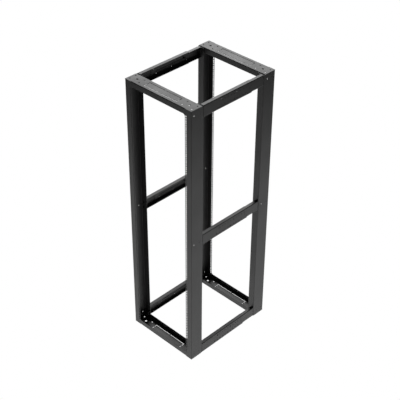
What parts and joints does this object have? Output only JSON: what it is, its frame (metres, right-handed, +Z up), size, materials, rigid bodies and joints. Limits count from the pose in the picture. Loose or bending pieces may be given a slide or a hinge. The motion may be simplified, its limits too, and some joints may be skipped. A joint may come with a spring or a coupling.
{
  "type": "open frame equipment rack",
  "caption": "Tall open-frame rack of bent steel uprights with square holes, flanged top and bottom plates, and telescoping side rails that set its depth.",
  "frame": {"origin": "middle of the floor footprint at the stored depth setting, on the floor", "axes": "-Y is the front, +X the right-hand side seen from the front, +Z up"},
  "size_m": [0.5526, 0.711, 1.905],
  "materials": {
    "upright_powder_coat": "fine satin black powder coat",
    "plate_powder_coat": "fine satin black powder coat",
    "rail_powder_coat": "fine satin black powder coat",
    "black_hardware": "black oxide"
  },
  "bodies": {
    "front_frame": {"upright_front_left": "upright_powder_coat", "upright_front_right": "upright_powder_coat", "plate_top_front": "plate_powder_coat", "plate_bottom_front": "plate_powder_coat", "rail_outer_top_left": "rail_powder_coat", "rail_outer_top_right": "rail_powder_coat", "rail_outer_mid_left": "rail_powder_coat", "rail_outer_mid_right": "rail_powder_coat", "rail_outer_bottom_left": "rail_powder_coat", "rail_outer_bottom_right": "rail_powder_coat", "rail_bolts_front": "black_hardware", "rail_nuts_front": "black_hardware", "lock_studs": "black_hardware", "lock_washers": "black_hardware", "lock_nuts": "black_hardware"},
    "rear_frame": {"upright_rear_left": "upright_powder_coat", "upright_rear_right": "upright_powder_coat", "plate_top_rear": "plate_powder_coat", "plate_bottom_rear": "plate_powder_coat", "rail_inner_top_left": "rail_powder_coat", "rail_inner_top_right": "rail_powder_coat", "rail_inner_mid_left": "rail_powder_coat", "rail_inner_mid_right": "rail_powder_coat", "rail_inner_bottom_left": "rail_powder_coat", "rail_inner_bottom_right": "rail_powder_coat", "rail_bolts_rear": "black_hardware", "rail_nuts_rear": "black_hardware"}
  },
  "joints": [
    {"name": "depth_adjust", "type": "slide", "parent": "front_frame", "child": "rear_frame", "axis": [0, 1, 0], "range_m": [-0.01, 0.23]}
  ]
}
